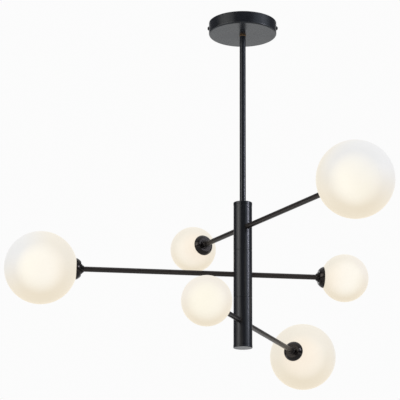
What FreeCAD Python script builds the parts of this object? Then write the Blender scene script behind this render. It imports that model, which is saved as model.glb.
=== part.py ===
import FreeCAD, Part
import math
import os
import re
import Sketcher

# A six-light branch chandelier. A shallow canopy hangs from a steel bracket on the ceiling.
# A straight rod carries a column of three equal segments, and each segment turns by hand
# on the discs above and below it. Each segment holds one arm right across the column, in two
# tubes, with a large glass globe on its long end and a small one on its short end.
#
# The origin is the centre of the ceiling plane, +Z is up, and all sizes are millimetres.
# A head and its arm are drawn along their own +X axis, from the column outwards.

os.makedirs("parts", exist_ok=True)
doc = FreeCAD.newDocument("branch_chandelier")

SIZES = {
    # pressed canopy
    "canopy_diameter": 117.0,
    "canopy_depth": 21.0,
    "canopy_wall": 1.2,
    "canopy_edge_radius": 2.4,
    "canopy_hole_clearance": 0.3,
    # ceiling bracket, bent from steel strip
    "bracket_width": 16.0,
    "bracket_thickness": 1.5,
    "bracket_bend_radius": 3.0,
    "bracket_ear_length": 14.0,
    "bracket_ear_clearance": 0.2,
    "supply_hole_diameter": 14.0,
    "ceiling_screw_spacing": 80.0,
    "ceiling_slot_length": 12.0,
    "ceiling_slot_width": 5.0,
    # the two screws that hold the canopy to the bracket's ears
    "side_screw_drop": 8.6,
    "side_screw_diameter": 4.0,
    "side_screw_length": 8.0,
    "side_screw_head_diameter": 7.0,
    "side_screw_head_height": 2.5,
    "side_screw_head_edge": 0.6,
    # earth screw and terminal block under the bracket
    "earth_screw_offset": 22.0,
    "earth_screw_diameter": 4.0,
    "earth_screw_head_diameter": 8.0,
    "earth_screw_head_height": 2.4,
    "earth_clamp_thickness": 1.2,
    "block_offset": 12.0,
    "block_length": 18.0,
    "block_width": 16.0,
    "block_height": 11.0,
    "block_corner": 1.0,
    "block_pole_spacing": 8.0,
    "block_entry_diameter": 4.0,
    "block_entry_depth": 4.0,
    "block_screw_well_diameter": 4.2,
    "block_screw_well_depth": 5.0,
    "block_peg_diameter": 4.0,
    # hollow threaded pieces: coupling, stem and arm ends share one thread
    "thread_diameter": 8.0,
    "thread_bore": 5.6,
    "thread_clearance": 0.05,
    "nut_across_flats": 12.0,
    "nut_thickness": 3.2,
    "nut_thread_end": 0.8,
    "washer_diameter": 18.0,
    "washer_thickness": 1.0,
    # brass coupling between canopy and rod
    "collar_diameter": 11.5,
    "collar_height": 2.5,
    "collar_chamfer": 0.4,
    "coupling_engagement": 12.0,
    # down rod and stem
    "rod_diameter": 10.5,
    "rod_length": 300.0,
    "rod_seat": 0.5,
    "stem_engagement": 12.0,
    "stem_window_width": 4.0,
    "stem_window_height": 12.0,
    # column of three segments between two caps
    "segment_diameter": 31.2,
    "segment_wall": 2.0,
    "segment_length": 79.2,
    "segment_edge": 0.3,
    "cap_overhang": 0.25,
    "cap_thickness": 4.3,
    "cap_edge_radius": 0.6,
    "cap_floor": 1.4,
    "disc_thickness": 0.8,
    "disc_recess": 0.3,
    "spigot_length": 4.5,
    "turning_clearance": 0.06,
    "turning_gap": 0.05,
    # arms
    "arm_diameter": 8.7,
    "arm_slip": 0.1,
    "arm_seat_flat": 0.05,
    "long_arm_length": 249.5,
    "short_arm_length": 108.0,
    "upper_arm_angle": -59.5,
    "middle_arm_angle": 188.6,
    "lower_arm_angle": 70.9,
    # lamp cup
    "cup_length": 13.0,
    "cup_wall": 2.3,
    "cup_lip_height": 0.8,
    "cup_lip_thickness": 1.0,
    "cup_recess_diameter": 30.8,
    "cup_recess_chamfer": 1.0,
    "cup_dome_radius": 16.0,
    "cup_back_diameter": 24.6,
    "cup_collar_diameter": 16.6,
    "cup_collar_length": 1.9,
    "cup_boss_diameter": 12.8,
    "cup_boss_length": 3.0,
    "cup_boss_taper": 1.4,
    "cup_bore_depth": 6.2,
    # glass globes, with their screw necks
    "large_globe_diameter": 120.0,
    "large_globe_wall": 2.0,
    "small_globe_diameter": 80.0,
    "small_globe_wall": 1.8,
    "globe_rim_gap": 0.15,
    "neck_diameter": 25.0,
    "neck_wall": 1.9,
    "neck_clearance": 0.1,
    "neck_end_gap": 0.4,
    "gasket_thickness": 1.2,
    "gasket_gap": 0.06,
    "gasket_slip": 0.3,
    # lampholder and lamp
    "holder_diameter": 17.6,
    "holder_length": 18.0,
    "holder_edge": 0.8,
    "holder_thread_depth": 4.2,
    "holder_lead_diameter": 4.6,
    "holder_slot_length": 15.0,
    "holder_slot_width": 5.0,
    "holder_slot_depth": 8.0,
    "bulb_diameter": 15.0,
    "bulb_length": 38.0,
    "bulb_base_length": 14.0,
    "bulb_base_width": 4.0,
    "bulb_gap": 0.4,
    # wiring that the tubes hold all the way
    "feed_wire_diameter": 2.4,
    "feed_wire_spacing": 2.6,
    "feed_wire_bend": 7.0,
    "arm_lead_diameter": 4.2,
    "arm_lead_start": 5.0,
    "lead_grip": 3.0,
}

sheet = doc.addObject("Spreadsheet::Sheet", "Sizes")
for row, (size_name, size) in enumerate(SIZES.items(), start=1):
    sheet.set(f"A{row}", size_name)
    sheet.set(f"B{row}", str(size))
    sheet.setAlias(f"B{row}", size_name)
doc.recompute()

THREAD = "thread_diameter/2"
THREAD_HOLE = "(thread_diameter/2 + thread_clearance)"
THREAD_BORE = "thread_bore/2"

# Heights, from the ceiling down.
CANOPY_FLOOR = "-(canopy_depth - canopy_wall)"
ROD_TOP = "-(canopy_depth + collar_height)"
ROD_BOTTOM = f"({ROD_TOP} - rod_length)"
COLUMN_TOP = f"({ROD_BOTTOM} + rod_seat)"
SEGMENTS_TOP = f"({COLUMN_TOP} - cap_thickness)"
SEGMENT_PITCH = "(segment_length + disc_thickness)"
SEGMENTS_BOTTOM = f"({SEGMENTS_TOP} - 3*segment_length - 2*disc_thickness)"
STEM_BOTTOM = f"({SEGMENTS_BOTTOM} - cap_thickness + cap_floor)"

# Radii and places in the column.
SEGMENT_BORE = "(segment_diameter/2 - segment_wall)"
SPIGOT = f"({SEGMENT_BORE} - turning_clearance)"
CAP_RADIUS = "(segment_diameter/2 + cap_overhang)"
ARM_HOLE = "(arm_diameter/2 + arm_slip)"
ARM_SEAT = f"(sqrt((segment_diameter/2)^2 - {ARM_HOLE}^2) - arm_seat_flat)"
ARM_NUT_FACE = f"(sqrt({SEGMENT_BORE}^2 - (nut_across_flats/2)^2) - arm_seat_flat)"

# Radii in the lamp cup.
CUP_BORE = "(neck_diameter/2 + neck_clearance)"
GASKET_INNER = "(neck_diameter/2 + gasket_slip)"
GASKET_OUTER = "(cup_recess_diameter/2 - gasket_slip)"
CUP_RADIUS = "(cup_recess_diameter/2 + cup_wall)"
CUP_MOUTH = f"({CUP_RADIUS} - cup_lip_thickness)"

LEVELS = {"upper": 0, "middle": 1, "lower": 2}
ENDS = {"long": "large", "short": "small"}


def bound(text):
    """A size in words, with each name led to its cell in the sheet."""
    return re.sub(r"[a-z]\w*", lambda word: "Sizes." + word[0] if word[0] in SIZES else word[0], text)


def value(text):
    """The number that a size in words has now."""
    return float(sheet.evalExpression(bound(text)))


def place(part, up="0", turn="0"):
    """Sets a part at a height, turned about the vertical axis of the column."""
    base = f"vector(0; 0; {bound(up)})"
    part.setExpression("Placement", f"placement({base}; rotation(vector(0; 0; 1); {bound(turn)}))")
    return part


def new_body(label):
    """An empty body whose label is the sub-part's name."""
    body = doc.addObject("PartDesign::Body", label)
    body.Label = label
    return body


def new_sketch(body, plane, offset="0"):
    """A sketch on one of the body's own planes, set forward along that plane's normal."""
    sketch = body.newObject("Sketcher::SketchObject", body.Label + "_sketch")
    sketch.AttachmentSupport = [feature for feature in body.Origin.OriginFeatures if feature.Role == plane]
    sketch.MapMode = "FlatFace"
    if offset != "0":
        sketch.setExpression("AttachmentOffset.Base.z", bound(offset))
    return sketch


def constrain(sketch, kind, *where, size):
    """Adds one dimension to a sketch and binds it to the sheet."""
    index = sketch.addConstraint(Sketcher.Constraint(kind, *where, value(size)))
    sketch.setExpression(f"Constraints[{index}]", bound(size))


def pin_point(sketch, edge, end, across, up):
    """Holds one end of an edge at its two sizes from the sketch's origin."""
    if across == "0":
        sketch.addConstraint(Sketcher.Constraint("PointOnObject", edge, end, -2))
    else:
        constrain(sketch, "DistanceX", -1, 1, edge, end, size=across)
    if up == "0":
        sketch.addConstraint(Sketcher.Constraint("PointOnObject", edge, end, -1))
    else:
        constrain(sketch, "DistanceY", -1, 1, edge, end, size=up)


def arc_between(start, end, radius, side):
    """The shorter arc from start to end: side is 1 where it runs anticlockwise and -1 where it runs clockwise."""
    chord = end - start
    left = FreeCAD.Vector(-chord.y, chord.x, 0) / chord.Length
    rise = math.sqrt(max(radius**2 - (chord.Length / 2) ** 2, 0))
    centre = (start + end) / 2 + left * (side * rise)
    first, last = (start, end) if side > 0 else (end, start)
    angles = [math.atan2(point.y - centre.y, point.x - centre.x) for point in (first, last)]
    if angles[1] < angles[0]:
        angles[1] += 2 * math.pi
    return Part.ArcOfCircle(Part.Circle(centre, FreeCAD.Vector(0, 0, 1), radius), *angles)


def outline(sketch, corners):
    """A closed outline through corners. Each is (across, up), or (across, up, radius, side) at an arc's end."""
    points = [FreeCAD.Vector(value(corner[0]), value(corner[1]), 0) for corner in corners]
    first = sketch.GeometryCount
    joints = []
    for index, corner in enumerate(corners):
        start, end = points[index - 1], points[index]
        if len(corner) == 2:
            sketch.addGeometry(Part.LineSegment(start, end), False)
            joints.append((1, 2))
        else:
            sketch.addGeometry(arc_between(start, end, value(corner[2]), corner[3]), False)
            joints.append((1, 2) if corner[3] > 0 else (2, 1))
    for index, corner in enumerate(corners):
        after = (index + 1) % len(corners)
        here = first + index
        there = first + after
        sketch.addConstraint(Sketcher.Constraint("Coincident", here, joints[index][1], there, joints[after][0]))
        pin_point(sketch, here, joints[index][1], corner[0], corner[1])
        if len(corner) == 4:
            constrain(sketch, "Radius", here, size=corner[2])


def circle(sketch, across, up, radius):
    """A full circle in a sketch."""
    centre = FreeCAD.Vector(value(across), value(up), 0)
    sketch.addGeometry(Part.Circle(centre, FreeCAD.Vector(0, 0, 1), value(radius)), False)
    edge = sketch.GeometryCount - 1
    pin_point(sketch, edge, 3, across, up)
    constrain(sketch, "Radius", edge, size=radius)


def rectangle(left, right, bottom, top):
    """The corners of an upright rectangle."""
    return [(left, bottom), (right, bottom), (right, top), (left, top)]


def mirrored(corners):
    """The same outline on the other side of the sketch's upright axis."""
    turned_over = []
    for corner, after in zip(corners, corners[1:] + corners[:1]):
        arc = (after[2], after[3]) if len(after) == 4 else ()
        turned_over.append((f"-({corner[0]})", corner[1], *arc))
    return turned_over[::-1]


def turn_profile(body, kind, axis, outlines):
    """A full turn of the outlines, drawn in the body's XZ plane, that adds or cuts."""
    sketch = new_sketch(body, "XZ_Plane")
    for corners in outlines:
        outline(sketch, corners)
    feature = body.newObject(f"PartDesign::{kind}", f"{body.Label}_{kind.lower()}")
    feature.Profile = sketch
    feature.ReferenceAxis = (sketch, [axis])
    feature.Angle = 360
    return body


def turned_upright(label, *outlines):
    """A piece turned about the vertical axis; its corners are (radius, height)."""
    return turn_profile(new_body(label), "Revolution", "V_Axis", outlines)


def turned_along(label, *outlines):
    """A piece turned about its own X axis; its corners are (distance, radius)."""
    return turn_profile(new_body(label), "Revolution", "H_Axis", outlines)


def pad(body, sketch, length, both_ways=False):
    """Thickens a sketch, forwards or by half its length each way."""
    feature = body.newObject("PartDesign::Pad", body.Label + "_pad")
    feature.Profile = sketch
    feature.SideType = "Symmetric" if both_ways else "One side"
    feature.setExpression("Length", bound(length))
    return feature


def cut(body, sketch, depth=None):
    """Cuts a sketch right through the body both ways, or to a depth behind its plane."""
    feature = body.newObject("PartDesign::Pocket", body.Label + "_cut")
    feature.Profile = sketch
    if depth is None:
        feature.SideType = "Symmetric"
        feature.Type = "ThroughAll"
    else:
        feature.Type = "Length"
        feature.setExpression("Length", bound(depth))
    return feature


def hexagon(sketch, across_flats):
    """A hexagon with two flats facing the sketch's own sides."""
    half = f"{across_flats}/2"
    side = f"{across_flats}/(2*sqrt(3))"
    outline(sketch, [
        (half, f"-{side}"), (half, side), ("0", f"2*{side}"),
        (f"-{half}", side), (f"-{half}", f"-{side}"), ("0", f"-2*{side}"),
    ])


# ---------------------------------------------------------------- ceiling end

EAR = "(sqrt((canopy_diameter/2 - canopy_wall)^2 - (bracket_width/2)^2) - bracket_ear_clearance)"


def make_bracket():
    """Steel strip across the canopy, with both ends bent down into tapped ears."""
    body = new_body("mounting_bracket")
    inner_bend = "bracket_bend_radius - bracket_thickness"
    flat_end = f"({EAR} - bracket_bend_radius)"
    ear_inside = f"({EAR} - bracket_thickness)"
    side = new_sketch(body, "XZ_Plane")
    outline(side, [
        (f"-{EAR}", "-bracket_ear_length"),
        (f"-{EAR}", "-bracket_bend_radius"),
        (f"-{flat_end}", "0", "bracket_bend_radius", -1),
        (flat_end, "0"),
        (EAR, "-bracket_bend_radius", "bracket_bend_radius", -1),
        (EAR, "-bracket_ear_length"),
        (ear_inside, "-bracket_ear_length"),
        (ear_inside, "-bracket_bend_radius"),
        (flat_end, "-bracket_thickness", inner_bend, 1),
        (f"-{flat_end}", "-bracket_thickness"),
        (f"-{ear_inside}", "-bracket_bend_radius", inner_bend, 1),
        (f"-{ear_inside}", "-bracket_ear_length"),
    ])
    pad(body, side, "bracket_width", both_ways=True)
    holes = new_sketch(body, "XY_Plane")
    circle(holes, "0", "0", "supply_hole_diameter/2")
    circle(holes, "-earth_screw_offset", "0", "earth_screw_diameter/2 + thread_clearance")
    circle(holes, "block_offset + block_length/2", "0", "block_peg_diameter/2 + thread_clearance")
    round_end = "ceiling_slot_width/2"
    inner = "(ceiling_screw_spacing/2 - ceiling_slot_length/2 + ceiling_slot_width/2)"
    outer = "(ceiling_screw_spacing/2 + ceiling_slot_length/2 - ceiling_slot_width/2)"
    slot = [
        (outer, f"-{round_end}"),
        (f"{outer} + {round_end}", "0", round_end, 1),
        (outer, round_end, round_end, 1),
        (inner, round_end),
        (f"{inner} - {round_end}", "0", round_end, 1),
        (inner, f"-{round_end}", round_end, 1),
    ]
    outline(holes, slot)
    outline(holes, mirrored(slot))
    cut(body, holes)
    tapped = new_sketch(body, "YZ_Plane")
    circle(tapped, "0", "-side_screw_drop", "side_screw_diameter/2 + thread_clearance")
    cut(body, tapped)
    return place(body)


def make_canopy():
    """Pressed steel cup, open at the ceiling, with a hole for the coupling and two for its side screws."""
    radius = "canopy_diameter/2"
    hole = "(thread_diameter/2 + canopy_hole_clearance)"
    edge_start = "(canopy_diameter/2 - canopy_edge_radius)"
    wall_end = "-(canopy_depth - canopy_edge_radius)"
    body = turned_upright("canopy", [
        (hole, "-canopy_depth"),
        (edge_start, "-canopy_depth"),
        (radius, wall_end, "canopy_edge_radius", 1),
        (radius, "0"),
        (f"{radius} - canopy_wall", "0"),
        (f"{radius} - canopy_wall", wall_end),
        (edge_start, CANOPY_FLOOR, "canopy_edge_radius - canopy_wall", -1),
        (hole, CANOPY_FLOOR),
    ])
    holes = new_sketch(body, "YZ_Plane")
    circle(holes, "0", "-side_screw_drop", "side_screw_diameter/2 + canopy_hole_clearance")
    cut(body, holes)
    return place(body)


def make_side_screws():
    """Two dome-headed screws through the canopy wall into the bracket's ears."""
    face = "(canopy_diameter/2 + thread_clearance)"
    head = "side_screw_head_diameter/2"
    dome_height = "(side_screw_head_height - side_screw_head_edge)"
    dome_radius = f"(({head})^2 + {dome_height}^2)/(2*{dome_height})"
    screw = [
        (f"{face} - side_screw_length", "0"),
        (f"{face} + side_screw_head_height", "0"),
        (f"{face} + side_screw_head_edge", head, dome_radius, 1),
        (face, head),
        (face, "side_screw_diameter/2"),
        (f"{face} - side_screw_length", "side_screw_diameter/2"),
    ]
    return place(turned_along("canopy_side_screws", screw, mirrored(screw)), up="-side_screw_drop")


def make_earth_screw():
    """Screw with a captive clamp washer, turned up into the bracket."""
    head_top = "-(bracket_thickness + earth_clamp_thickness)"
    clamp = "earth_screw_head_diameter/2 + 1"
    body = turned_upright("earth_screw", [
        ("0", "-thread_clearance"),
        ("0", f"{head_top} - earth_screw_head_height"),
        ("earth_screw_head_diameter/2", f"{head_top} - earth_screw_head_height"),
        ("earth_screw_head_diameter/2", head_top),
        (clamp, head_top),
        (clamp, "-bracket_thickness"),
        ("earth_screw_diameter/2", "-bracket_thickness"),
        ("earth_screw_diameter/2", "-thread_clearance"),
    ])
    body.setExpression("Placement.Base.x", bound("-earth_screw_offset"))
    return body


def make_terminal_block():
    """Two-pole moulded block that hangs under the bracket by a peg."""
    body = new_body("terminal_block")
    top = "-bracket_thickness"
    bottom = "-(bracket_thickness + block_height)"
    far = "block_length"
    side = new_sketch(body, "XZ_Plane")
    outline(side, [
        ("0", top),
        ("0", f"{bottom} + block_corner"),
        ("block_corner", bottom),
        (f"{far} - block_corner", bottom),
        (far, f"{bottom} + block_corner"),
        (far, top),
    ])
    pad(body, side, "block_width", both_ways=True)
    peg = new_sketch(body, "XY_Plane", "-bracket_thickness")
    circle(peg, "block_length/2", "0", "block_peg_diameter/2")
    pad(body, peg, "bracket_thickness - thread_clearance")
    entries = new_sketch(body, "YZ_Plane", "block_entry_depth")
    wells = new_sketch(body, "XY_Plane", f"{bottom} + block_screw_well_depth")
    for pole in ("block_pole_spacing/2", "-block_pole_spacing/2"):
        circle(entries, pole, "-(bracket_thickness + block_height/2)", "block_entry_diameter/2")
        circle(wells, "block_length*2/3", pole, "block_screw_well_diameter/2")
    cut(body, entries, "block_entry_depth")
    cut(body, wells, "block_screw_well_depth")
    body.setExpression("Placement.Base.x", bound("block_offset"))
    return body


def make_coupling():
    """Turned brass coupling: a collar under the canopy, threaded above for its nut and below for the rod."""
    collar = "collar_diameter/2"
    thread_top = "(canopy_wall + washer_thickness + nut_thickness + nut_thread_end)"
    thread_end = "-(collar_height + coupling_engagement)"
    return place(turned_upright("rod_coupling", [
        (THREAD_BORE, thread_top),
        (THREAD_BORE, thread_end),
        (THREAD, thread_end),
        (THREAD, "-collar_height"),
        (f"{collar} - collar_chamfer", "-collar_height"),
        (collar, "-(collar_height - collar_chamfer)"),
        (collar, "-collar_chamfer"),
        (f"{collar} - collar_chamfer", "0"),
        (THREAD, "0"),
        (THREAD, thread_top),
    ]), up="-canopy_depth")


def make_canopy_washer():
    """Plain washer on the canopy's floor."""
    body = turned_upright(
        "canopy_washer", rectangle(THREAD_HOLE, "washer_diameter/2", "0", "washer_thickness"))
    return place(body, up=CANOPY_FLOOR)


def make_canopy_nut():
    """Hexagon nut that clamps the canopy on the coupling."""
    body = new_body("canopy_nut")
    sketch = new_sketch(body, "XY_Plane")
    hexagon(sketch, "nut_across_flats")
    circle(sketch, "0", "0", THREAD_HOLE)
    pad(body, sketch, "nut_thickness")
    return place(body, up=f"{CANOPY_FLOOR} + washer_thickness")


# ---------------------------------------------------------------- rod and column

def make_rod():
    """Down rod: a plain tube, tapped at both ends, that stands in the column's top cap."""
    break_edge = "segment_edge"
    return place(turned_upright("down_rod", [
        (THREAD_HOLE, "0"),
        (THREAD_HOLE, "-rod_length"),
        (f"rod_diameter/2 - {break_edge}", "-rod_length"),
        ("rod_diameter/2", f"-(rod_length - {break_edge})"),
        ("rod_diameter/2", f"-{break_edge}"),
        (f"rod_diameter/2 - {break_edge}", "0"),
    ]), up=ROD_TOP)


def make_stem():
    """Threaded tube through the whole column, with a window for the wires at each arm."""
    top = f"({ROD_BOTTOM} + stem_engagement)"
    body = turned_upright("column_stem", rectangle(THREAD_BORE, THREAD, STEM_BOTTOM, top))
    windows = new_sketch(body, "YZ_Plane")
    for level in LEVELS:
        low = f"{arm_height(level)} - stem_window_height/2"
        high = f"{arm_height(level)} + stem_window_height/2"
        outline(windows, rectangle("-stem_window_width/2", "stem_window_width/2", low, high))
    cut(body, windows)
    return place(body)


def make_top_cap():
    """Cap that seats the rod above and centres the upper segment on its spigot."""
    seat = "(rod_diameter/2 + arm_slip)"
    end = "-(cap_thickness + spigot_length)"
    return place(turned_upright("column_top_cap", [
        (seat, "0"),
        (seat, "-rod_seat"),
        (THREAD_HOLE, "-rod_seat"),
        (THREAD_HOLE, end),
        (SPIGOT, end),
        (SPIGOT, "-cap_thickness"),
        (CAP_RADIUS, "-cap_thickness"),
        (CAP_RADIUS, "-cap_edge_radius"),
        (f"{CAP_RADIUS} - cap_edge_radius", "0", "cap_edge_radius", 1),
    ]), up=COLUMN_TOP)


def make_spacer_disc(label, above):
    """Thin disc between two segments, with a spigot up into one and down into the next."""
    rim = "(segment_diameter/2 - disc_recess)"
    half = "disc_thickness/2"
    reach = "(disc_thickness/2 + spigot_length)"
    return place(turned_upright(label, [
        (THREAD_HOLE, reach),
        (THREAD_HOLE, f"-{reach}"),
        (SPIGOT, f"-{reach}"),
        (SPIGOT, f"-{half}"),
        (rim, f"-{half}"),
        (rim, half),
        (SPIGOT, half),
        (SPIGOT, reach),
    ]), up=f"{arm_height(above)} - {SEGMENT_PITCH}/2")


def make_end_cap():
    """Cap screwed on the stem's lower end, which clamps the three segments."""
    thread_end = "-(cap_thickness - cap_floor)"
    return place(turned_upright("column_end_cap", [
        (THREAD_HOLE, "spigot_length"),
        (THREAD_HOLE, thread_end),
        ("0", thread_end),
        ("0", "-cap_thickness"),
        (f"{CAP_RADIUS} - cap_edge_radius", "-cap_thickness"),
        (CAP_RADIUS, "-(cap_thickness - cap_edge_radius)", "cap_edge_radius", 1),
        (CAP_RADIUS, "0"),
        (SPIGOT, "0"),
        (SPIGOT, "spigot_length"),
    ]), up=SEGMENTS_BOTTOM)


def make_feed_wires():
    """Two wires from the terminal block down through coupling, rod and stem to the lowest window."""
    radius = value("feed_wire_diameter/2")
    bend = value("feed_wire_bend")
    entry_height = value("-(bracket_thickness + block_height/2)")
    foot_height = value(f"{arm_height('lower')} - stem_window_height/2")
    entry_across = value("block_offset + block_entry_depth/2")
    wires = []
    for side in (1, -1):
        foot = FreeCAD.Vector(0, side * value("feed_wire_spacing/2"), foot_height)
        corner = FreeCAD.Vector(foot.x, foot.y, entry_height)
        entry = FreeCAD.Vector(entry_across, side * value("block_pole_spacing/2"), entry_height)
        along = (entry - corner).normalize()
        up = FreeCAD.Vector(0, 0, 1)
        arc_start = corner - up * bend
        arc_end = corner + along * bend
        arc_middle = corner + (along - up) * (bend * (1 - math.sqrt(0.5)))
        path = Part.Wire([
            Part.LineSegment(foot, arc_start).toShape(),
            Part.Arc(arc_start, arc_middle, arc_end).toShape(),
            Part.LineSegment(arc_end, entry).toShape(),
        ])
        section = Part.Wire(Part.Circle(foot, up, radius).toShape())
        wires.append(path.makePipeShell([section], True, False))
    feature = doc.addObject("Part::Feature", "feed_wires")
    feature.Label = "feed_wires"
    feature.Shape = Part.makeCompound(wires)
    feature.Placement = FreeCAD.Placement()
    return feature


# ---------------------------------------------------------------- one level of the column

def arm_height(level):
    """Height of a level's arms, at the middle of its segment."""
    return f"({SEGMENTS_TOP} - segment_length/2 - {LEVELS[level]}*{SEGMENT_PITCH})"


def arm_angle(level, end):
    """Direction of one end of a level's arm, about the column."""
    return f"{level}_arm_angle" + ("" if end == "long" else " + 180")


def make_segment(level):
    """Turning segment: a tube with a spot-faced hole on each side for an arm."""
    radius = "segment_diameter/2"
    half = "(segment_length/2 - turning_gap)"
    body = turned_upright(f"segment_{level}", [
        (SEGMENT_BORE, half),
        (SEGMENT_BORE, f"-{half}"),
        (f"{radius} - segment_edge", f"-{half}"),
        (radius, f"-({half} - segment_edge)"),
        (radius, f"{half} - segment_edge"),
        (f"{radius} - segment_edge", half),
    ])
    turn_profile(body, "Groove", "H_Axis", [[
        ("-segment_diameter", "0"),
        ("segment_diameter", "0"),
        ("segment_diameter", ARM_HOLE),
        (ARM_SEAT, ARM_HOLE),
        (ARM_SEAT, THREAD_HOLE),
        (f"-{ARM_SEAT}", THREAD_HOLE),
        (f"-{ARM_SEAT}", ARM_HOLE),
        ("-segment_diameter", ARM_HOLE),
    ]])
    return place(body, up=arm_height(level), turn=arm_angle(level, "long"))


def arm_shoulder(end):
    """Distance from the column's axis to an arm's outer shoulder."""
    return f"({ARM_SEAT} + {end}_arm_length)"


def make_arm(level, end):
    """Arm tube, turned down and threaded at both ends: the inner one for a nut, the outer one for the lampholder."""
    shoulder = arm_shoulder(end)
    inner_end = f"({ARM_NUT_FACE} - nut_thickness - nut_thread_end)"
    outer_end = f"({cup_floor(end)} + holder_thread_depth - arm_slip)"
    body = turned_along(f"{end}_arm_{level}", [
        (inner_end, THREAD_BORE),
        (outer_end, THREAD_BORE),
        (outer_end, THREAD),
        (shoulder, THREAD),
        (shoulder, "arm_diameter/2"),
        (ARM_SEAT, "arm_diameter/2"),
        (ARM_SEAT, THREAD),
        (inner_end, THREAD),
    ])
    return place(body, up=arm_height(level), turn=arm_angle(level, end))


def make_arm_nuts(level):
    """The two nuts inside a segment that hold its arms."""
    body = new_body(f"arm_nuts_{level}")
    bar = new_sketch(body, "YZ_Plane")
    hexagon(bar, "nut_across_flats")
    circle(bar, "0", "0", THREAD_HOLE)
    pad(body, bar, f"2*{ARM_NUT_FACE}", both_ways=True)
    middle = new_sketch(body, "XZ_Plane")
    gap = f"({ARM_NUT_FACE} - nut_thickness)"
    outline(middle, rectangle(f"-{gap}", gap, "-nut_across_flats", "nut_across_flats"))
    cut(body, middle)
    return place(body, up=arm_height(level), turn=arm_angle(level, "long"))


def make_arm_leads(level):
    """The sheathed lead in each arm, from beside the stem's window into the lampholder."""
    leads = []
    for end in ENDS:
        finish = f"{cup_floor(end)} + holder_thread_depth + lead_grip"
        leads.append(rectangle("arm_lead_start", finish, "0", "arm_lead_diameter/2"))
    body = turned_along(f"arm_leads_{level}", leads[0], mirrored(leads[1]))
    return place(body, up=arm_height(level), turn=arm_angle(level, "long"))


# ---------------------------------------------------------------- one lamp head

def cup_rim(end):
    """Distance from the column's axis to the cup's rim."""
    return f"({arm_shoulder(end)} + cup_length)"


def cup_floor(end):
    """Distance to the floor of the cup's bore, on which the lampholder stands."""
    return f"({cup_rim(end)} - cup_bore_depth)"


def globe_centre(end):
    """Distance to the middle of the globe, which just clears the mouth of the cup."""
    radius = f"{ENDS[end]}_globe_diameter/2"
    return f"({cup_rim(end)} + globe_rim_gap + sqrt(({radius})^2 - {CUP_MOUTH}^2))"


def gasket_back(end):
    """Distance to the back of the gasket, so that its front meets the glass at its inner edge."""
    radius = f"{ENDS[end]}_globe_diameter/2"
    glass = f"{globe_centre(end)} - sqrt(({radius})^2 - {GASKET_INNER}^2)"
    return f"({glass} - gasket_gap - gasket_thickness)"


def make_cup(level, end):
    """Turned aluminium cup: a stepped boss on the arm, a domed back and a threaded bore for the glass."""
    back = arm_shoulder(end)
    rim = cup_rim(end)
    seat = f"({gasket_back(end)} - gasket_gap)"
    floor = cup_floor(end)
    step = "(cup_boss_length + cup_collar_length)"
    body = turned_along(f"cup_{level}_{ENDS[end]}", [
        (back, THREAD_HOLE),
        (floor, THREAD_HOLE),
        (floor, CUP_BORE),
        (seat, CUP_BORE),
        (seat, "cup_recess_diameter/2"),
        (f"{rim} - cup_recess_chamfer", "cup_recess_diameter/2"),
        (rim, CUP_MOUTH),
        (rim, CUP_RADIUS),
        (f"{rim} - cup_lip_height", CUP_RADIUS),
        (f"{back} + {step}", "cup_back_diameter/2", "cup_dome_radius", 1),
        (f"{back} + {step}", "cup_collar_diameter/2"),
        (f"{back} + cup_boss_length", "cup_collar_diameter/2"),
        (f"{back} + cup_boss_length", "cup_boss_diameter/2"),
        (f"{back} + cup_boss_taper", "cup_boss_diameter/2"),
        (back, "cup_boss_diameter/2 - cup_boss_taper"),
    ])
    return place(body, up=arm_height(level), turn=arm_angle(level, end))


def make_lampholder(level, end):
    """Ceramic lampholder, screwed on the arm's end, with a slot for the lamp's flat base."""
    back = cup_floor(end)
    front = f"({back} + holder_length)"
    thread_end = f"({back} + holder_thread_depth)"
    radius = "holder_diameter/2"
    body = turned_along(f"lampholder_{level}_{ENDS[end]}", [
        (back, THREAD_HOLE),
        (thread_end, THREAD_HOLE),
        (thread_end, "holder_lead_diameter/2"),
        (front, "holder_lead_diameter/2"),
        (front, f"{radius} - holder_edge"),
        (f"{front} - holder_edge", radius),
        (back, radius),
    ])
    slot = new_sketch(body, "YZ_Plane", front)
    outline(slot, rectangle(
        "-holder_slot_width/2", "holder_slot_width/2", "-holder_slot_length/2", "holder_slot_length/2"))
    cut(body, slot, "holder_slot_depth")
    return place(body, up=arm_height(level), turn=arm_angle(level, end))


def make_bulb(level, end):
    """Capsule lamp: a frosted tube with a round end on a flat base that stands in the slot."""
    start = f"({cup_floor(end)} + holder_length + bulb_gap)"
    tip = f"({start} + bulb_length)"
    radius = "bulb_diameter/2"
    base_start = f"({start} - holder_slot_depth)"
    body = turned_along(f"bulb_{level}_{ENDS[end]}", [
        (start, "0"),
        (tip, "0"),
        (f"{tip} - {radius}", radius, radius, 1),
        (start, radius),
    ])
    base = new_sketch(body, "YZ_Plane", base_start)
    outline(base, rectangle(
        "-bulb_base_width/2", "bulb_base_width/2", "-bulb_base_length/2", "bulb_base_length/2"))
    pad(body, base, "holder_slot_depth + bulb_gap")
    return place(body, up=arm_height(level), turn=arm_angle(level, end))


def make_gasket(level, end):
    """Silicone ring in the cup's mouth that the glass is screwed down on."""
    back = gasket_back(end)
    ring = rectangle(back, f"{back} + gasket_thickness", GASKET_INNER, GASKET_OUTER)
    body = turned_along(f"gasket_{level}_{ENDS[end]}", ring)
    return place(body, up=arm_height(level), turn=arm_angle(level, end))


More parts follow.
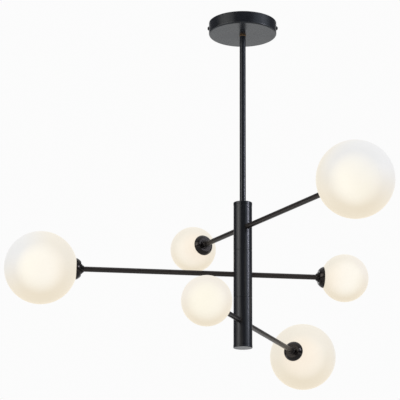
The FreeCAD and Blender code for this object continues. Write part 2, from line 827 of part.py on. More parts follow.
def make_globe(level, end):
    """Blown opal globe with a short screw neck that goes into the cup's bore."""
    size = ENDS[end]
    outer = f"{size}_globe_diameter/2"
    inner = f"({size}_globe_diameter/2 - {size}_globe_wall)"
    neck = "neck_diameter/2"
    neck_bore = "(neck_diameter/2 - neck_wall)"
    centre = globe_centre(end)
    neck_end = f"({cup_floor(end)} + neck_end_gap)"
    body = turned_along(f"globe_{level}_{size}", [
        (f"{centre} + {outer}", "0"),
        (centre, outer, outer, 1),
        (f"{centre} - sqrt(({outer})^2 - ({neck})^2)", neck, outer, 1),
        (neck_end, neck),
        (neck_end, neck_bore),
        (f"{centre} - sqrt({inner}^2 - {neck_bore}^2)", neck_bore),
        (centre, inner, inner, -1),
        (f"{centre} + {inner}", "0", inner, -1),
    ])
    return place(body, up=arm_height(level), turn=arm_angle(level, end))


sub_parts = [
    make_bracket(),
    make_canopy(),
    make_side_screws(),
    make_earth_screw(),
    make_terminal_block(),
    make_coupling(),
    make_canopy_washer(),
    make_canopy_nut(),
    make_rod(),
    make_stem(),
    make_top_cap(),
    make_spacer_disc("spacer_disc_upper", above="upper"),
    make_spacer_disc("spacer_disc_lower", above="middle"),
    make_end_cap(),
    make_feed_wires(),
]
for level in LEVELS:
    sub_parts += [make_segment(level), make_arm_nuts(level), make_arm_leads(level)]
    for end in ENDS:
        sub_parts += [make_arm(level, end), make_cup(level, end), make_lampholder(level, end)]
        sub_parts += [make_bulb(level, end), make_gasket(level, end), make_globe(level, end)]

doc.recompute()

for item in doc.Objects:
    if "Invalid" in item.State or "Error" in item.State:
        raise RuntimeError(f"{item.Label} failed: {item.State}")
    if item.isDerivedFrom("PartDesign::Pocket") or item.isDerivedFrom("PartDesign::Groove"):
        if item.Shape.Volume > item.BaseFeature.Shape.Volume - 0.01:
            raise RuntimeError(f"{item.Label} cuts nothing")
for part in sub_parts:
    if part.Shape.isNull() or not part.Shape.isValid() or not part.Shape.Solids:
        raise RuntimeError(f"{part.Label} has no valid solid")
for part in sub_parts:
    part.Shape.exportStep(f"parts/{part.Label}.step")
print(len(sub_parts), "sub-parts written")
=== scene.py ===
import math

import bpy
import numpy as np
from mathutils import Matrix, Vector


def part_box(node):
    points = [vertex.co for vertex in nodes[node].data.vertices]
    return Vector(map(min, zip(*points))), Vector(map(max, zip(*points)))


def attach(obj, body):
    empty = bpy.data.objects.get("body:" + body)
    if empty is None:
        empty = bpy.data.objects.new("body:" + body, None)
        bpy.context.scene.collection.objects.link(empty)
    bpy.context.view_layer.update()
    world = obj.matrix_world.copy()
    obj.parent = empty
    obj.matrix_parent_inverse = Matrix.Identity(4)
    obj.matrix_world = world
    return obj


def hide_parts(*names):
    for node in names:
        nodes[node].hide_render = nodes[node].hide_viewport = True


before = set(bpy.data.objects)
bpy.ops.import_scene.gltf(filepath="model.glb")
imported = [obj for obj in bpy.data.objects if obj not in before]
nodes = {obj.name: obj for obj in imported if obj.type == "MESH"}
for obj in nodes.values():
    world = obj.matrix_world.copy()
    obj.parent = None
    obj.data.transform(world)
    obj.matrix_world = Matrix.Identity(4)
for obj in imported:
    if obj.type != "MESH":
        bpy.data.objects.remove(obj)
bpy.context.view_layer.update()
scene = bpy.context.scene


# ---------------------------------------------------------------- studio
# The room that the light is shown in: a pale floor that fades into a white sweep behind it, and
# soft lights at its front left and front right. The camera stands below and looks up a little.

IMAGE_SIDE = 400
FOCAL_PIXELS = 1683.5
SENSOR_MM = 36.0
CAMERA_DISTANCE = 2.730
CAMERA_HEIGHT = -1.0889
CAMERA_PAN = -0.0264
CAMERA_TILT = 0.2752
CAMERA_ROLL = 0.0063

forward = Vector((math.sin(CAMERA_PAN) * math.cos(CAMERA_TILT),
                  math.cos(CAMERA_PAN) * math.cos(CAMERA_TILT),
                  math.sin(CAMERA_TILT)))
level_right = Vector((math.cos(CAMERA_PAN), -math.sin(CAMERA_PAN), 0))
level_up = level_right.cross(forward)
right = level_right * math.cos(CAMERA_ROLL) + level_up * math.sin(CAMERA_ROLL)
up = right.cross(forward)
camera_data = bpy.data.cameras.new("camera")
camera_data.sensor_width = SENSOR_MM
camera_data.lens = FOCAL_PIXELS / IMAGE_SIDE * SENSOR_MM
camera_data.clip_end = 60
camera = bpy.data.objects.new("camera", camera_data)
camera.matrix_world = Matrix((right, up, -forward)).transposed().to_4x4()
camera.location = (0, -CAMERA_DISTANCE, CAMERA_HEIGHT)
scene.collection.objects.link(camera)
scene.camera = camera
scene.view_settings.view_transform = "Standard"
scene.view_settings.look = "None"


def surface_mesh(name, points, faces, smooth=True):
    """A mesh object at the origin, from an array of points and a list of faces."""
    mesh = bpy.data.meshes.new(name)
    mesh.from_pydata(np.asarray(points, float).tolist(), [], faces)
    mesh.polygons.foreach_set("use_smooth", [smooth] * len(mesh.polygons))
    mesh.update()
    piece = bpy.data.objects.new(name, mesh)
    scene.collection.objects.link(piece)
    return piece


def new_material(name):
    """A material with its node tree and its Principled shader."""
    material = bpy.data.materials.new(name)
    material.use_nodes = True
    return material, material.node_tree, material.node_tree.nodes["Principled BSDF"]


def set_inputs(node, **values):
    """Sets a node's sockets by name, with an underscore for each space in the name."""
    for name, value in values.items():
        node.inputs[name.replace("_", " ")].default_value = value


def add_node(tree, kind, operation=None, **values):
    """A node of that kind in the tree, with its operation and its sockets set."""
    node = tree.nodes.new("ShaderNode" + kind)
    if operation:
        node.operation = operation
    set_inputs(node, **values)
    return node


def colour_mix(tree, factor, first, second):
    """A colour mix. Each input is a colour, or a socket that it is linked to."""
    mix = tree.nodes.new("ShaderNodeMix")
    mix.data_type = "RGBA"
    for socket, source in ((mix.inputs[0], factor), (mix.inputs[6], first), (mix.inputs[7], second)):
        if isinstance(source, bpy.types.NodeSocket):
            tree.links.new(source, socket)
        else:
            socket.default_value = source
    return mix.outputs[2]


def ramp(tree, source, start, end, low=0.0, high=1.0):
    """A smooth step of a value: low up to start, high from end on."""
    step = add_node(tree, "MapRange", From_Min=start, From_Max=end, To_Min=low, To_Max=high)
    step.interpolation_type = "SMOOTHSTEP"
    tree.links.new(source, step.inputs["Value"])
    return step.outputs["Result"]


FLOOR_DROP = 2.1
FLOOR_RADIUS = 9.0
FLOOR_SIDES = 96
FLOOR_ROUGHNESS = 0.75
FLOOR_NOISE = dict(Scale=3.0, Detail=6.0)
FLOOR_COLOUR = (0.80, 0.80, 0.795, 1)
FLOOR_SPECKLE = (0.76, 0.76, 0.755, 1)
FLOOR_FADE = (1.8, 4.6)
FLOOR_FAR_GLOW = 0.52

rim_turn = np.linspace(0, 2 * np.pi, FLOOR_SIDES, endpoint=False)
floor_points = np.stack([FLOOR_RADIUS * np.cos(rim_turn), FLOOR_RADIUS * np.sin(rim_turn),
                         np.full(FLOOR_SIDES, -FLOOR_DROP)], 1)
floor = surface_mesh("floor", floor_points, [list(range(FLOOR_SIDES))], smooth=False)
floor_paint, tree, shader = new_material("pale_floor")
set_inputs(shader, Roughness=FLOOR_ROUGHNESS)
place = add_node(tree, "TexCoord")
speckle = add_node(tree, "TexNoise", **FLOOR_NOISE)
tree.links.new(place.outputs["Object"], speckle.inputs["Vector"])
tree.links.new(colour_mix(tree, speckle.outputs["Fac"], FLOOR_COLOUR, FLOOR_SPECKLE), shader.inputs["Base Color"])
reach = add_node(tree, "VectorMath", "DISTANCE")
reach.inputs[1].default_value = (0, 0, -FLOOR_DROP)
tree.links.new(place.outputs["Object"], reach.inputs[0])
fade = ramp(tree, reach.outputs["Value"], *FLOOR_FADE)
tree.links.new(colour_mix(tree, fade, (0, 0, 0, 1), (1, 1, 1, 1)), shader.inputs["Emission Color"])
set_inputs(shader, Emission_Strength=FLOOR_FAR_GLOW)
floor.data.materials.append(floor_paint)

SWEEP_HALF_ANGLE = 30
SWEEP_SOFTNESS = 10
ROOM_SHADE = (0.085, 0.088, 0.095, 1)
SWEEP_SHADE = (0.97, 0.975, 0.98, 1)
CEILING_SHADE = (0.80, 0.82, 0.84, 1)
CEILING_START = (0.35, 0.90)
SEEN_WHITE = (0.97, 0.97, 0.97, 1)

world = bpy.data.worlds.new("studio")
world.use_nodes = True
scene.world = world
tree = world.node_tree
tree.nodes.clear()
place = add_node(tree, "TexCoord")
parts = add_node(tree, "SeparateXYZ")
tree.links.new(place.outputs["Generated"], parts.inputs[0])
behind = ramp(tree, parts.outputs["Y"], math.cos(math.radians(SWEEP_HALF_ANGLE + SWEEP_SOFTNESS)),
              math.cos(math.radians(SWEEP_HALF_ANGLE - SWEEP_SOFTNESS)))
above = ramp(tree, parts.outputs["Z"], *CEILING_START)
room = colour_mix(tree, behind, ROOM_SHADE, SWEEP_SHADE)
lit_room = colour_mix(tree, above, room, CEILING_SHADE)
ray = add_node(tree, "LightPath")
background = add_node(tree, "Background")
output = add_node(tree, "OutputWorld")
tree.links.new(colour_mix(tree, ray.outputs["Is Camera Ray"], lit_room, SEEN_WHITE), background.inputs["Color"])
tree.links.new(background.outputs[0], output.inputs["Surface"])

LIGHT_DISTANCE = 1.9
SOFT_LIGHTS = {
    "left_panel": dict(angle=-57, middle=0.20, width=1.95, height=1.10, power=11.3, colour=(1.0, 0.965, 0.91)),
    "left_strip": dict(angle=-56, middle=0.05, width=0.36, height=0.80, power=1.9, colour=(1.0, 0.965, 0.91)),
    "right_panel": dict(angle=66, middle=0.25, width=2.20, height=1.2, power=8.4, colour=(0.80, 0.89, 1.0)),
    "right_strip": dict(angle=71, middle=0.20, width=0.16, height=0.5, power=7.5, colour=(0.90, 0.87, 1.0)),
}
for name, setting in SOFT_LIGHTS.items():
    data = bpy.data.lights.new(name, "AREA")
    data.shape = "RECTANGLE"
    data.size = setting["width"]
    data.size_y = setting["height"]
    data.energy = setting["power"]
    data.color = setting["colour"]
    light = bpy.data.objects.new(name, data)
    angle = math.radians(setting["angle"])
    light.location = (LIGHT_DISTANCE * math.sin(angle), -LIGHT_DISTANCE * math.cos(angle), setting["middle"])
    light.rotation_euler = (math.radians(90), 0, angle)
    light.visible_camera = False
    scene.collection.objects.link(light)


# ---------------------------------------------------------------- ceiling bracket, nut and washer
# The strap is bent from zinc plated steel strip, and the coupling hangs from it on a plated nut
# and washer. They are bright but not polished, with the dull spangle that plating has.

ZINC_DULL = (0.38, 0.39, 0.41, 1)
ZINC_BRIGHT = (0.60, 0.61, 0.62, 1)
PATCH_STEP = (0.3, 0.7)


def make_surface_grain():
    """Shared effect. Slow noise makes a patchy colour and gloss, and fine noise a pebbled height."""
    group = bpy.data.node_groups.new("surface_grain", "ShaderNodeTree")
    for name, kind in (("Vector", "NodeSocketVector"), ("Patch Size", "NodeSocketFloat"),
                       ("Pebble Size", "NodeSocketFloat"), ("Low", "NodeSocketFloat"), ("High", "NodeSocketFloat"),
                       ("Dark", "NodeSocketColor"), ("Light", "NodeSocketColor")):
        group.interface.new_socket(name, in_out="INPUT", socket_type=kind)
    for name, kind in (("Colour", "NodeSocketColor"), ("Gloss", "NodeSocketFloat"), ("Height", "NodeSocketFloat")):
        group.interface.new_socket(name, in_out="OUTPUT", socket_type=kind)
    start = group.nodes.new("NodeGroupInput")
    end = group.nodes.new("NodeGroupOutput")
    noises = []
    for name, detail in (("Patch Size", 4.0), ("Pebble Size", 1.0)):
        scale = add_node(group, "Math", "DIVIDE")
        scale.inputs[0].default_value = 1.0
        noise = add_node(group, "TexNoise", Detail=detail)
        group.links.new(start.outputs[name], scale.inputs[1])
        group.links.new(start.outputs["Vector"], noise.inputs["Vector"])
        group.links.new(scale.outputs[0], noise.inputs["Scale"])
        noises.append(noise.outputs["Fac"])
    patch = ramp(group, noises[0], *PATCH_STEP)
    gloss = add_node(group, "MapRange")
    group.links.new(patch, gloss.inputs["Value"])
    group.links.new(start.outputs["Low"], gloss.inputs["To Min"])
    group.links.new(start.outputs["High"], gloss.inputs["To Max"])
    group.links.new(colour_mix(group, patch, start.outputs["Dark"], start.outputs["Light"]), end.inputs["Colour"])
    group.links.new(gloss.outputs["Result"], end.inputs["Gloss"])
    group.links.new(noises[1], end.inputs["Height"])
    return group


surface_grain = make_surface_grain()


def grained_material(name, dark, light, gloss, patch=0.02, pebble=0.0012, bump=0.02, stretch=(1, 1, 1),
                     turn=0.0, **sockets):
    """A material whose colour, roughness and bump come from the shared grain.

    stretch shrinks the pattern's coordinates along each axis, so that 0.05 makes long lines, and
    turn is the direction of the pattern's X axis about the column, in degrees. The sockets are
    the shader's own, set by name."""
    material, tree, shader = new_material(name)
    place = add_node(tree, "TexCoord")
    mapping = add_node(tree, "Mapping")
    mapping.vector_type = "TEXTURE"
    mapping.inputs["Rotation"].default_value = (0, 0, math.radians(turn))
    mapping.inputs["Scale"].default_value = [1 / s for s in stretch]
    grain = add_node(tree, "Group")
    grain.node_tree = surface_grain
    set_inputs(grain, Dark=dark, Light=light, Patch_Size=patch, Pebble_Size=pebble, Low=gloss[0], High=gloss[1])
    dent = add_node(tree, "Bump", Strength=1.0, Distance=bump / 1000)
    set_inputs(shader, **sockets)
    tree.links.new(place.outputs["Object"], mapping.inputs["Vector"])
    tree.links.new(mapping.outputs["Vector"], grain.inputs["Vector"])
    tree.links.new(grain.outputs["Colour"], shader.inputs["Base Color"])
    tree.links.new(grain.outputs["Gloss"], shader.inputs["Roughness"])
    tree.links.new(grain.outputs["Height"], dent.inputs["Height"])
    tree.links.new(dent.outputs["Normal"], shader.inputs["Normal"])
    return material


def finish_nodes(material, *names):
    """Gives a material to the CAD nodes named."""
    for name in names:
        mesh = nodes[name].data
        mesh.materials.clear()
        mesh.materials.append(material)


zinc = grained_material("zinc_plating", ZINC_DULL, ZINC_BRIGHT, gloss=(0.26, 0.42), patch=0.005, pebble=0.0006,
                        bump=0.01, Metallic=1.0)
finish_nodes(zinc, "mounting_bracket", "canopy_washer", "canopy_nut")


# ---------------------------------------------------------------- terminal block and wires
# The block is moulded in white polyamide. Two insulated wires run from it down the rod and the
# stem, brown on one side and blue on the other, and each arm's lead has a white sheath.

POLYAMIDE_DARK = (0.72, 0.72, 0.70, 1)
POLYAMIDE_LIGHT = (0.82, 0.82, 0.80, 1)
WIRE_BROWN = (0.085, 0.030, 0.012, 1)
WIRE_BLUE = (0.020, 0.060, 0.220, 1)

polyamide = grained_material("moulded_polyamide", POLYAMIDE_DARK, POLYAMIDE_LIGHT, gloss=(0.42, 0.52),
                             patch=0.008, pebble=0.0005, bump=0.01)
finish_nodes(polyamide, "terminal_block", "arm_leads_upper", "arm_leads_middle", "arm_leads_lower")
insulation = grained_material("wire_insulation", WIRE_BROWN, WIRE_BROWN, gloss=(0.30, 0.42), patch=0.01,
                              pebble=0.0008, bump=0.01)
tree = insulation.node_tree
place = add_node(tree, "TexCoord")
parts = add_node(tree, "SeparateXYZ")
tree.links.new(place.outputs["Object"], parts.inputs[0])
side = add_node(tree, "Math", "GREATER_THAN")
side.inputs[1].default_value = 0.0
tree.links.new(parts.outputs["Y"], side.inputs[0])
shader = tree.nodes["Principled BSDF"]
tree.links.new(colour_mix(tree, side.outputs[0], WIRE_BLUE, WIRE_BROWN), shader.inputs["Base Color"])
finish_nodes(insulation, "feed_wires")


# ---------------------------------------------------------------- canopy
# A shallow cup pressed from steel sheet, powder coated in satin black. The coat has the faint
# waviness of orange peel. Its colour and sheen are tinted slightly blue, a painted cast that
# stands in for the bluish light reflected in it.

CANOPY_DARK = (0.0090, 0.0100, 0.0135, 1)
CANOPY_LIGHT = (0.0130, 0.0145, 0.0190, 1)
# Painted blue sheen: the reflections are tinted to stand in for bluish reflected light.
CANOPY_PAINTED_BLUE_SHEEN = (0.94, 0.98, 1.0, 1)

canopy_coat = grained_material("canopy_powder_coat", CANOPY_DARK, CANOPY_LIGHT, gloss=(0.25, 0.31), patch=0.03,
                               pebble=0.0016, bump=0.006, Specular_Tint=CANOPY_PAINTED_BLUE_SHEEN)
finish_nodes(canopy_coat, "canopy")


# ---------------------------------------------------------------- side screws and clamp screws
# Dome-headed machine screws with a cross recess. Two blackened ones go through the canopy's side
# into the bracket's ears, and two small plated ones in the block's wells clamp the wires.

SCREW_TURN_STEPS = 64
HEAD_RINGS = 26
INNER_RING = 0.02
EDGE_ROUNDING = 0.2
THREAD_START = 0.0001
THREAD_PITCH = 0.0007
THREAD_DEPTH = 0.0004
THREAD_ROWS_PER_TURN = 8
TIP_TAPER = 0.4
TIP_LENGTH = 0.0006
TIP_END = 0.25
RECESS_WIDTH = 0.0011
RECESS_DEPTH = 0.0011
RECESS_REACH = 0.52
RECESS_SOFTNESS = 0.0001
SIDE_SCREW = dict(head_radius=0.0035, head_height=0.0025, edge=0.0006, shank_radius=0.002, length=0.008)
SCREW_BLACK_DARK = (0.010, 0.010, 0.011, 1)
SCREW_BLACK_LIGHT = (0.020, 0.020, 0.021, 1)


def turned_surface(name, origin, axis, along, radius, ring=False):
    """A closed surface about an axis, from one pole to the other.

    Row i and column j stand for the point that lies along[i, j] up the axis from the origin and
    radius[i, j] out from it, in the direction of the column's angle. The first and last rows are
    closed by a point on the axis, or joined to each other for a ring. Rows run down the axis on
    the outside, so faces point outwards."""
    axis = Vector(axis).normalized()
    side = axis.orthogonal().normalized()
    other = axis.cross(side)
    rows, columns = along.shape
    angle = np.linspace(0, 2 * np.pi, columns, endpoint=False)
    spoke = np.cos(angle)[:, None] * np.array(side) + np.sin(angle)[:, None] * np.array(other)
    body = np.array(origin) + along[..., None] * np.array(axis) + radius[..., None] * spoke
    i, j = np.meshgrid(np.arange(rows if ring else rows - 1), np.arange(columns), indexing="ij")
    after, below = (j + 1) % columns, (i + 1) % rows
    sides = np.stack([i * columns + j, below * columns + j, below * columns + after, i * columns + after], -1)
    if ring:
        return surface_mesh(name, body.reshape(-1, 3), sides.reshape(-1, 4).tolist())
    poles = np.array(origin) + np.array([[along[0].mean()], [along[-1].mean()]]) * np.array(axis)
    points = np.concatenate([body.reshape(-1, 3), poles])
    j = np.arange(columns)
    after = (j + 1) % columns
    first = np.stack([np.full(columns, rows * columns), j, after], -1)
    last = (rows - 1) * columns
    end = np.stack([last + j, np.full(columns, rows * columns + 1), last + after], -1)
    return surface_mesh(name, points, sides.reshape(-1, 4).tolist() + first.tolist() + end.tolist())


def smooth_box(distance, half_width, softness):
    """1 inside the half width, 0 outside it, with a smooth edge between."""
    step = np.clip((half_width + softness - distance) / (2 * softness), 0, 1)
    return step * step * (3 - 2 * step)


def dome_screw(name, origin, axis, head_radius, head_height, edge, shank_radius, length):
    """A screw whose origin is the middle of its head's underside, with its head up the axis.

    The head is a cap of a sphere on a short edge, less a cross whose two slots are each a smooth
    box of width and depth. The shank's radius falls from crest to root as a triangle wave of the
    height and the angle, which is one right-handed helix."""
    angle = np.linspace(0, 2 * np.pi, SCREW_TURN_STEPS, endpoint=False)
    out = np.linspace(INNER_RING, 1, HEAD_RINGS)[:, None] * head_radius + 0 * angle
    rise = head_height - edge
    ball = (head_radius ** 2 + rise ** 2) / (2 * rise)
    dome = np.sqrt(ball ** 2 - out ** 2) - (ball - head_height)
    across, up_slot = np.abs(out * np.cos(angle)), np.abs(out * np.sin(angle))
    half, arm = (RECESS_WIDTH / 2, RECESS_SOFTNESS), (head_radius * RECESS_REACH, 2 * RECESS_SOFTNESS)
    slot = np.maximum(smooth_box(across, *half) * smooth_box(up_slot, *arm),
                      smooth_box(up_slot, *half) * smooth_box(across, *arm))
    flat = np.zeros((1, SCREW_TURN_STEPS))
    corner = edge * EDGE_ROUNDING
    rim = [(edge, head_radius), (corner, head_radius), (0, head_radius - corner), (0, shank_radius)]
    steps = int(length / THREAD_PITCH * THREAD_ROWS_PER_TURN)
    down = -np.linspace(THREAD_START, length, steps)[:, None] + flat
    wave = np.abs(2 * np.mod(down / THREAD_PITCH - angle / (2 * np.pi), 1) - 1)
    from_tip = np.clip((down + length) / TIP_LENGTH, TIP_END, 1)
    shank = (shank_radius - THREAD_DEPTH * wave) * (1 - TIP_TAPER + TIP_TAPER * from_tip)
    along = np.concatenate([dome - RECESS_DEPTH * slot] + [flat + a for a, r in rim] + [down])
    radius = np.concatenate([out] + [flat + r for a, r in rim] + [shank])
    return turned_surface(name, origin, axis, along, radius)


screw_black = grained_material("blackened_screw", SCREW_BLACK_DARK, SCREW_BLACK_LIGHT, gloss=(0.28, 0.40),
                               patch=0.002, pebble=0.0004, bump=0.004)
low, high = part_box("canopy_side_screws")
drop = (low.z + high.z) / 2
for name, tip, outwards in (("side_screw_left", low.x, -1), ("side_screw_right", high.x, 1)):
    seat = (tip - outwards * SIDE_SCREW["head_height"], 0, drop)
    screw = dome_screw(name, seat, (outwards, 0, 0), **SIDE_SCREW)
    screw.data.materials.append(screw_black)
    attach(screw, "ceiling_body")
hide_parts("canopy_side_screws")

WELL_DEPTH = 0.005
WELL_ALONG_BLOCK = 2 / 3
POLE_SPACING = 0.008
CLAMP_LIFT = 0.0006
CLAMP_SCREW = dict(head_radius=0.0018, head_height=0.0016, edge=0.0009, shank_radius=0.0012, length=0.0005)
low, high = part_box("terminal_block")
for name, side in (("clamp_screw_front", -1), ("clamp_screw_back", 1)):
    seat = (low.x + (high.x - low.x) * WELL_ALONG_BLOCK, side * POLE_SPACING / 2, low.z + WELL_DEPTH - CLAMP_LIFT)
    screw = dome_screw(name, seat, (0, 0, -1), **CLAMP_SCREW)
    screw.data.materials.append(zinc)
    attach(screw, "ceiling_body")


# ---------------------------------------------------------------- brass coupling and earth screw
# A turned brass coupling, left bare, is clamped between the canopy and the rod. It has darkened
# a little, and the cutting tool has left fine rings round it. The earth screw is brass as well,
# with a clamp washer under its head.

BRASS_DARK = (0.16, 0.095, 0.045, 1)
BRASS_LIGHT = (0.30, 0.19, 0.10, 1)

brass = grained_material("turned_brass", BRASS_DARK, BRASS_LIGHT, gloss=(0.32, 0.46), patch=0.003,
                         pebble=0.0004, bump=0.006, stretch=(0.2, 0.2, 2), Metallic=1.0)
finish_nodes(brass, "rod_coupling")

EARTH_HEAD = dict(head_radius=0.004, head_height=0.0024, edge=0.0009, shank_radius=0.002, length=0.00265)
CLAMP_RADIUS = 0.005
CLAMP_THICKNESS = 0.0012
CLAMP_BORE = 0.0021
CLAMP_EDGE = 0.0002
low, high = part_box("earth_screw")
centre = (low + high) / 2
head_seat = low.z + EARTH_HEAD["head_height"]
earth_screw = dome_screw("earth_screw_turned", (centre.x, centre.y, head_seat), (0, 0, -1), **EARTH_HEAD)
outline = np.array([(0, CLAMP_RADIUS - CLAMP_EDGE), (-CLAMP_EDGE, CLAMP_RADIUS),
                    (CLAMP_EDGE - CLAMP_THICKNESS, CLAMP_RADIUS), (-CLAMP_THICKNESS, CLAMP_RADIUS - CLAMP_EDGE),
                    (-CLAMP_THICKNESS, CLAMP_BORE), (0, CLAMP_BORE)])[:, :, None] + np.zeros(SCREW_TURN_STEPS)
earth_clamp = turned_surface("earth_clamp_washer", (centre.x, centre.y, head_seat), (0, 0, -1), outline[:, 0],
                             outline[:, 1], ring=True)
for piece in (earth_screw, earth_clamp):
    piece.data.materials.append(brass)
    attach(piece, "ceiling_body")
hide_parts("earth_screw")


# ---------------------------------------------------------------- rod and column
# The rod is steel tube and the column is three lengths of aluminium tube between two caps, with a
# thin disc at each joint. All are sprayed satin black, over faint lines left by drawing the tube.
# The threaded stem and the nuts inside them are zinc plated.

LEVELS = ("upper", "middle", "lower")
# The column's colours and sheen are tinted blue, a painted cast that stands in for bluish light reflected in the
# coat.
COLUMN_DARK = (0.0070, 0.0078, 0.0105, 1)
COLUMN_LIGHT = (0.0105, 0.0115, 0.0155, 1)
COLUMN_PAINTED_BLUE_SHEEN = (0.93, 0.96, 1.0, 1)

column_coat = grained_material("column_satin_black", COLUMN_DARK, COLUMN_LIGHT, gloss=(0.27, 0.33), patch=0.03,
                               pebble=0.0012, bump=0.004, stretch=(1, 1, 0.08), Specular_Tint=COLUMN_PAINTED_BLUE_SHEEN)
finish_nodes(column_coat, "down_rod", "column_top_cap", "spacer_disc_upper", "spacer_disc_lower", "column_end_cap",
             *[f"segment_{level}" for level in LEVELS])
finish_nodes(zinc, "column_stem", *[f"arm_nuts_{level}" for level in LEVELS])


# ---------------------------------------------------------------- arms
# Each arm is two straight steel tubes, sprayed black like the column, with the drawing lines
# running along the tube. Their colour and sheen carry a painted warm cast, which stands in for
# the globes' warm light reflected in them.

# Painted warm cast: both colours and the sheen are warmed to stand in for reflected globe light.
ARM_DARK = (0.0140, 0.0118, 0.0110, 1)
ARM_LIGHT = (0.0205, 0.0172, 0.0162, 1)
ARM_PAINTED_WARM_SHEEN = (1.0, 0.89, 0.83, 1)
GLASS_SIZES = {"large": "long", "small": "short"}

ARM_DIRECTION = {}
for level in LEVELS:
    low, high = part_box(f"long_arm_{level}")
    inner = min((low.x, high.x), key=abs), min((low.y, high.y), key=abs)
    outer = max((low.x, high.x), key=abs), max((low.y, high.y), key=abs)
    ARM_DIRECTION[level] = math.degrees(math.atan2(outer[1] - inner[1], outer[0] - inner[0]))
    arm_coat = grained_material(f"arm_satin_black_{level}", ARM_DARK, ARM_LIGHT, gloss=(0.30, 0.38), patch=0.02,
                                pebble=0.0010, bump=0.004, stretch=(0.06, 1, 1), turn=ARM_DIRECTION[level],
                                Specular_Tint=ARM_PAINTED_WARM_SHEEN)
    finish_nodes(arm_coat, f"long_arm_{level}", f"short_arm_{level}")


# ---------------------------------------------------------------- lamp cups
# Each cup is turned from aluminium bar, with a stepped boss behind a domed back. Its black coat is
# glossier than the tubes', and the turning rings show faintly through it.

CUP_DARK = (0.0050, 0.0040, 0.0042, 1)
CUP_LIGHT = (0.0095, 0.0078, 0.0078, 1)
CUP_SHEEN = (1.0, 0.91, 0.86, 1)
CUP_SHINE = 0.36

for level in LEVELS:
    cup_coat = grained_material(f"cup_gloss_black_{level}", CUP_DARK, CUP_LIGHT, gloss=(0.13, 0.20), patch=0.006,
                                pebble=0.0009, bump=0.005, stretch=(2, 0.12, 0.12), turn=ARM_DIRECTION[level],
                                Specular_IOR_Level=CUP_SHINE, Specular_Tint=CUP_SHEEN)
    finish_nodes(cup_coat, *[f"cup_{level}_{size}" for size in GLASS_SIZES])


# ---------------------------------------------------------------- lampholders, lamps and gaskets
# The lampholder is unglazed ceramic, the capsule lamp in it is frosted glass that glows warm
# white, and a clear silicone ring lies in the cup's mouth behind the glass.

CERAMIC_DARK = (0.74, 0.73, 0.70, 1)
CERAMIC_LIGHT = (0.85, 0.84, 0.81, 1)
SILICONE_DARK = (0.60, 0.60, 0.59, 1)
SILICONE_LIGHT = (0.72, 0.72, 0.70, 1)
LAMP_DARK = (0.90, 0.86, 0.78, 1)
LAMP_LIGHT = (0.95, 0.92, 0.86, 1)
LAMP_GLOW = (1.0, 0.80, 0.55, 1)
LAMP_POWER = 3.0

ceramic = grained_material("unglazed_ceramic", CERAMIC_DARK, CERAMIC_LIGHT, gloss=(0.6, 0.75), patch=0.01,
                           pebble=0.0007, bump=0.02)
silicone = grained_material("clear_silicone", SILICONE_DARK, SILICONE_LIGHT, gloss=(0.4, 0.5), patch=0.01,
                            pebble=0.0006, bump=0.005)
lamp_glass = grained_material("lit_lamp_glass", LAMP_DARK, LAMP_LIGHT, gloss=(0.4, 0.5), patch=0.01,
                              pebble=0.0005, bump=0.01, Emission_Color=LAMP_GLOW, Emission_Strength=LAMP_POWER)
for level in LEVELS:
    for size in GLASS_SIZES:
        finish_nodes(ceramic, f"lampholder_{level}_{size}")
        finish_nodes(lamp_glass, f"bulb_{level}_{size}")
        finish_nodes(silicone, f"gasket_{level}_{size}")


# ---------------------------------------------------------------- opal globes
# Each globe is blown opal glass, etched to a soft satin outside, with a screw neck in the cup. The
# light of the lamp inside is painted into the glass's emission colour: brightest in the middle,
# warmest by the cup, with a painted warm glow along the bottom. The glass's own colour is kept
# dark, so that this painted glow sets its look.

GLASS_DARK = (0.20, 0.20, 0.195, 1)
GLASS_LIGHT = (0.22, 0.22, 0.215, 1)
# Painted light: these colours go into the glass's emission, for the lamp's light through the glass and a warm glow
# along the bottom.
GLOW_BY_CUP = (0.83, 0.73, 0.60, 1)
GLOW_SIDE = (0.86, 0.81, 0.71, 1)
GLOW_FAR = {"large": (0.92, 0.87, 0.745, 1), "small": (0.86, 0.81, 0.68, 1)}
GLOW_RIM = (0.73, 0.675, 0.575, 1)
GLOW_RIM_FAR = {"large": (0.685, 0.68, 0.675, 1), "small": (0.735, 0.68, 0.60, 1)}
PAINTED_WARM_GLOW_BELOW = (0.71, 0.62, 0.47, 1)
LAMP_OFF_CENTRE = {"large": 0.20, "small": 0.08}
FAR_FADE = {"large": 0.45, "small": 1.0}
CORE_REACH = {"large": 0.34, "small": 0.50}
FAR_FADE_SPAN = (0.5, 1.1)
RIM_SPAN = (-0.25, 0.75)
BELOW_TOP = 0.3
SATIN_SHINE = 0.20


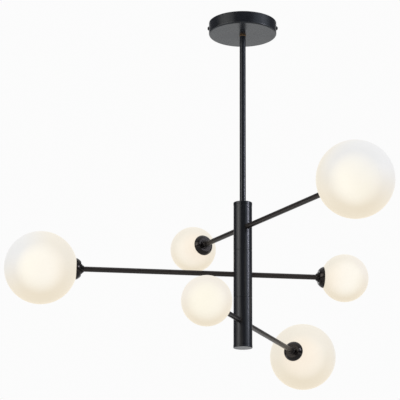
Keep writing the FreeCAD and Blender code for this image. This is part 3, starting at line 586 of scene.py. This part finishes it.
def opal_material(name, centre, radius, outward, size):
    """Opal glass whose glow is painted light, set by how near each point is to the lamp and how squarely it is
    seen.

    The lamp stands between the glass's middle and the cup, so the painted glow is warmest by the cup,
    a large globe's glow pales towards its far side, and a painted warm glow lies along the bottom."""
    offset = LAMP_OFF_CENTRE[size]
    material = grained_material(name, GLASS_DARK, GLASS_LIGHT, gloss=(0.46, 0.54), patch=0.03, pebble=0.0008,
                                bump=0.004, Specular_IOR_Level=SATIN_SHINE, Emission_Strength=1.0)
    tree = material.node_tree
    place = add_node(tree, "TexCoord")
    reach = add_node(tree, "VectorMath", "DISTANCE")
    reach.inputs[1].default_value = centre - outward * radius * offset
    tree.links.new(place.outputs["Object"], reach.inputs[0])
    off_cup = ramp(tree, reach.outputs["Value"], radius * (1 - offset), radius)
    far_off = ramp(tree, reach.outputs["Value"], radius, radius * (1 + offset))
    far_fade = ramp(tree, reach.outputs["Value"], *[radius * (1 + share * offset) for share in FAR_FADE_SPAN],
                    1.0, FAR_FADE[size])
    core = colour_mix(tree, far_off, colour_mix(tree, off_cup, GLOW_BY_CUP, GLOW_SIDE), GLOW_FAR[size])
    facing = add_node(tree, "LayerWeight", Blend=0.5)
    through = ramp(tree, facing.outputs["Facing"], 0.0, CORE_REACH[size], 1.0, 0.0)
    glow = add_node(tree, "Math", "MULTIPLY")
    tree.links.new(far_fade, glow.inputs[0])
    tree.links.new(through, glow.inputs[1])
    parts = add_node(tree, "SeparateXYZ")
    tree.links.new(place.outputs["Object"], parts.inputs[0])
    # Painted warm glow, growing towards the globe's bottom.
    below = ramp(tree, parts.outputs["Z"], centre.z - radius, centre.z + radius * BELOW_TOP, 1.0, 0.0)
    rim_off = ramp(tree, reach.outputs["Value"], *[radius * (1 + share * offset) for share in RIM_SPAN])
    rim_and_below_glow = colour_mix(tree, below, colour_mix(tree, rim_off, GLOW_RIM, GLOW_RIM_FAR[size]), PAINTED_WARM_GLOW_BELOW)
    shader = tree.nodes["Principled BSDF"]
    tree.links.new(colour_mix(tree, glow.outputs[0], rim_and_below_glow, core), shader.inputs["Emission Color"])
    return material


for level in LEVELS:
    for size in GLASS_SIZES:
        low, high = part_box(f"globe_{level}_{size}")
        cup_low, cup_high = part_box(f"cup_{level}_{size}")
        radius = (high.z - low.z) / 2
        outward = (low + high) / 2 - (cup_low + cup_high) / 2
        outward.z = 0
        outward.normalize()
        far = Vector((high.x if outward.x > 0 else low.x, high.y if outward.y > 0 else low.y, (low.z + high.z) / 2))
        centre = far - Vector((math.copysign(radius, outward.x), math.copysign(radius, outward.y), 0))
        glass = opal_material(f"opal_glass_{level}_{size}", centre, radius, outward, size)
        finish_nodes(glass, f"globe_{level}_{size}")
